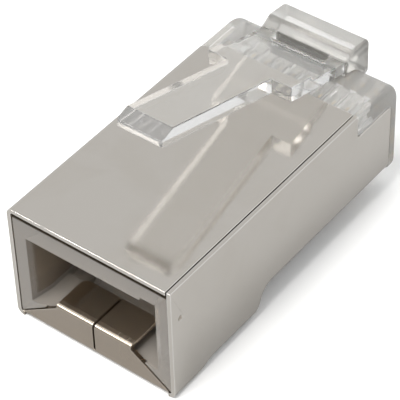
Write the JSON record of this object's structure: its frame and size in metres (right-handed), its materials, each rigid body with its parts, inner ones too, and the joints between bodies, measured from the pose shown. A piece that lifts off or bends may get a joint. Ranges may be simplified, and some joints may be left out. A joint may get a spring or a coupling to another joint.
{
  "type": "shielded modular plug",
  "caption": "Shielded modular data plug: clear moulded housing in a folded metal shield, with a sprung latch lever and flat gold contact blades.",
  "frame": {"origin": "middle of the part's box, on the surface that the foot of the shield stands on", "axes": "+Y from the cable mouth to the nose, +Z from the contact side to the latch side, +X across the plug"},
  "size_m": [0.0116, 0.023, 0.0139],
  "materials": {
    "clear_plastic": "clear moulded polycarbonate",
    "plated_sheet": "satin nickel plate on folded sheet",
    "gold_plate": "gold plate"
  },
  "bodies": {
    "plug": {"housing": "clear_plastic", "shield": "plated_sheet", "contact_1": "gold_plate", "contact_2": "gold_plate", "contact_3": "gold_plate", "contact_4": "gold_plate", "contact_5": "gold_plate", "contact_6": "gold_plate", "contact_7": "gold_plate", "contact_8": "gold_plate"},
    "latch": {"latch": "clear_plastic"}
  },
  "joints": [
    {"name": "latch_flex", "type": "hinge", "parent": "plug", "child": "latch", "pos_m": [0, 0.0089, 0.00895], "axis": [1, 0, 0], "range_deg": [0, 14], "stiffness_Nm_per_rad": 0.12}
  ]
}
